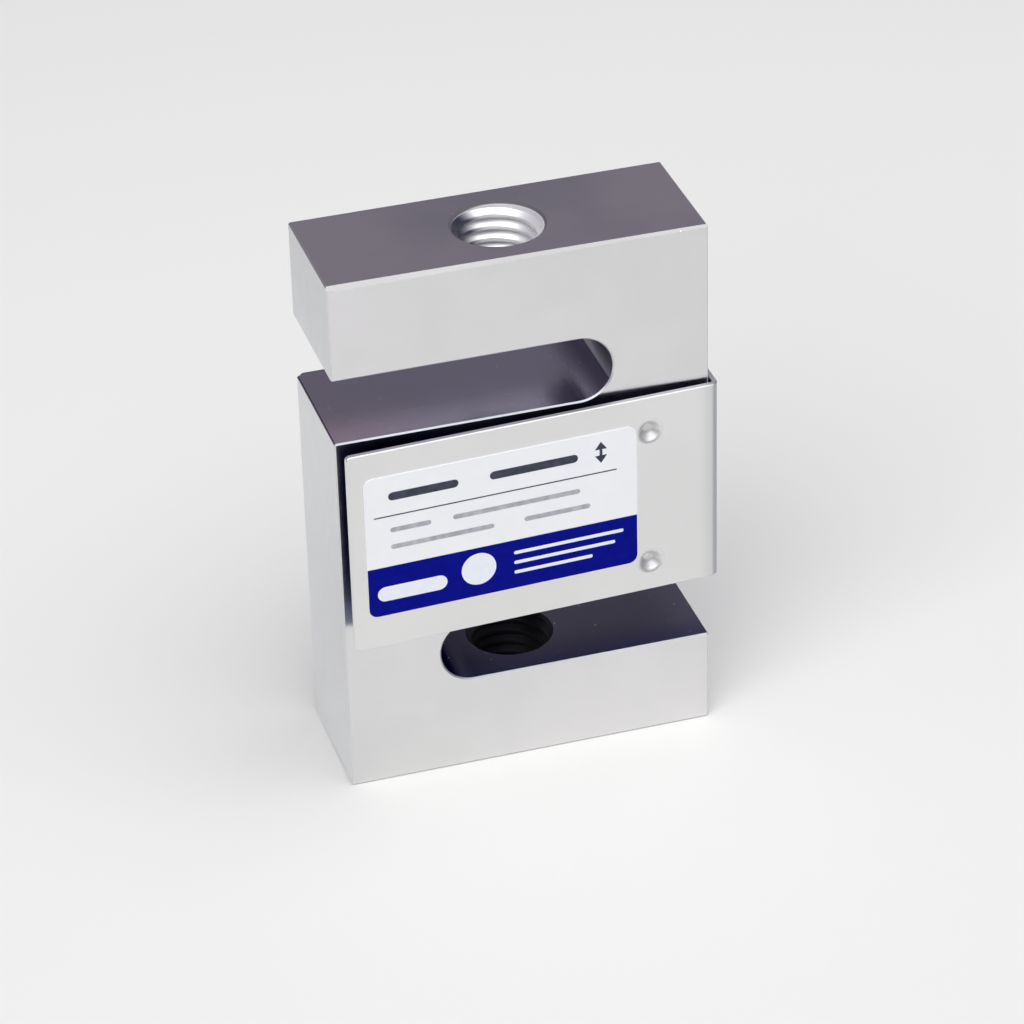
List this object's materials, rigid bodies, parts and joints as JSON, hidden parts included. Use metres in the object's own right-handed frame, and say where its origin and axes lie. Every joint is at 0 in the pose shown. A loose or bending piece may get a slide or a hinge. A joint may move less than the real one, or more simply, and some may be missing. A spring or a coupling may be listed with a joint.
{
  "type": "s type load cell",
  "caption": "S-shaped strain-gauge load cell for tension or compression, with a threaded hole in each arm and a folded sheet cover over its gauge window.",
  "frame": {"origin": "centre of the lower load thread's mouth, on the flat underside of the lower arm", "axes": "+Z along the load axis from the lower thread to the upper one, +X along the width towards the side with the cable inlet, +Y through the thickness from the labelled front to the back"},
  "size_m": [0.0518, 0.0235, 0.0762],
  "materials": {
    "plated_steel": "satin",
    "cover_sheet": "satin",
    "label_film": "satin",
    "bush_metal": "satin",
    "seal_rubber": "matte",
    "silicone": "satin",
    "circuit_board": "satin",
    "resistor_ceramic": "matte",
    "resistor_nickel": "matte",
    "gauge_foil": "satin",
    "terminal_strip": "satin",
    "wire_insulation": "satin"
  },
  "bodies": {
    "root": {"load_beam": "plated_steel", "gauge_cover": "cover_sheet", "label": "label_film", "cable_bush": "bush_metal", "cable_seal": "seal_rubber", "potting": "silicone", "compensation_board": "circuit_board", "trim_resistors": "resistor_ceramic", "nickel_resistors": "resistor_nickel", "strain_gauge_upper_left": "gauge_foil", "strain_gauge_upper_right": "gauge_foil", "strain_gauge_lower_left": "gauge_foil", "strain_gauge_lower_right": "gauge_foil", "gauge_terminal_upper_left": "terminal_strip", "gauge_terminal_upper_right": "terminal_strip", "gauge_terminal_lower_left": "terminal_strip", "gauge_terminal_lower_right": "terminal_strip", "lead_pair_upper_left": "wire_insulation", "lead_pair_upper_right": "wire_insulation", "lead_pair_lower_left": "wire_insulation", "lead_pair_lower_right": "wire_insulation"}
  },
  "joints": []
}
